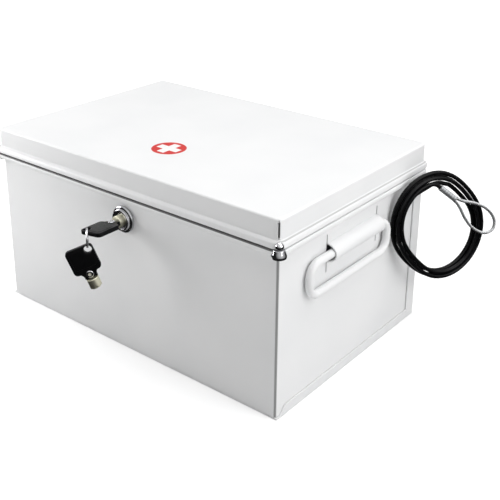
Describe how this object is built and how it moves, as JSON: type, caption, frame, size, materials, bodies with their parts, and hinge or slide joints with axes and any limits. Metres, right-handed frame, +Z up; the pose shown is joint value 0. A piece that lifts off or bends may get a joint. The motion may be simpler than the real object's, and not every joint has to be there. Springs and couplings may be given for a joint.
{
  "type": "lockable storage box",
  "caption": "Steel box with a hinged flared-rim lid, tubular key lock with keys on a ring, side bail handles, rim corner caps and a coiled tether cable with an eye.",
  "frame": {"origin": "middle of the base's underside, where the box stands", "axes": "+X to the box's right as seen from its lock side, +Y to the hinge at the back, +Z up; the lock faces -Y"},
  "size_m": [0.3683, 0.2909, 0.16],
  "materials": {
    "white_steel": "white powder coat, satin",
    "plated_steel": "zinc plated",
    "chrome": "bright",
    "nickel": "nickel-plated brass",
    "black_plastic": "moulded, satin",
    "black_rubber": "matt",
    "black_vinyl": "smooth vinyl jacket over steel rope",
    "wire_rope": "bare twisted wire rope"
  },
  "bodies": {
    "base": {"body_wrap": "white_steel", "base_back_sheet": "white_steel", "hinge_leaf_body": "plated_steel", "hinge_pin": "plated_steel", "body_corner_cap_right": "chrome", "body_corner_cap_left": "chrome", "lock_barrel": "chrome", "lock_nut": "plated_steel", "cable_grommet": "black_rubber", "cable_stop": "plated_steel", "cable_lead": "black_vinyl", "cable_coil": "black_vinyl", "cable_ferrule": "plated_steel", "cable_eye": "wire_rope"},
    "lid": {"lid_shell": "white_steel", "lid_strike": "plated_steel", "hinge_leaf_lid": "plated_steel", "lid_corner_cap_right": "chrome", "lid_corner_cap_left": "chrome"},
    "lock_rotor": {"lock_plug": "chrome", "lock_cam": "plated_steel", "cam_screw": "plated_steel"},
    "key_one": {"key_1_stem": "nickel", "key_1_head": "black_plastic", "key_1_rivet": "chrome"},
    "ring": {"key_ring": "chrome"},
    "key_two": {"key_2_stem": "nickel", "key_2_head": "black_plastic", "key_2_rivet": "chrome"},
    "right_bail": {"bail_right": "white_steel"},
    "left_bail": {"bail_left": "white_steel"}
  },
  "joints": [
    {"name": "lid_hinge", "type": "hinge", "parent": "base", "child": "lid", "pos_m": [0, 0.1054, 0.1386], "axis": [-1, 0, 0], "range_deg": [0, 105]},
    {"name": "lock_turn", "type": "hinge", "parent": "base", "child": "lock_rotor", "pos_m": [0, -0.1, 0.117], "axis": [0, -1, 0], "range_deg": [0, 90]},
    {"name": "key_1_withdraw", "type": "slide", "parent": "lock_rotor", "child": "key_one", "axis": [0, -1, 0], "range_m": [0, 0.03]},
    {"name": "ring_swing", "type": "hinge", "parent": "key_one", "child": "ring", "pos_m": [-0.00191, -0.13704, 0.11604], "axis": [0.7349, -0.6782, 0], "range_deg": [-15, 15]},
    {"name": "key_2_swing", "type": "hinge", "parent": "ring", "child": "key_two", "pos_m": [-0.00191, -0.13704, 0.10624], "axis": [0.7349, -0.6782, 0], "range_deg": [-45, 45]},
    {"name": "bail_right_swing", "type": "hinge", "parent": "base", "child": "right_bail", "pos_m": [0.1539, 0, 0.1125], "axis": [0, -1, 0], "range_deg": [0, 155]},
    {"name": "bail_left_swing", "type": "hinge", "parent": "base", "child": "left_bail", "pos_m": [-0.1539, 0, 0.1125], "axis": [0, 1, 0], "range_deg": [0, 155]}
  ]
}
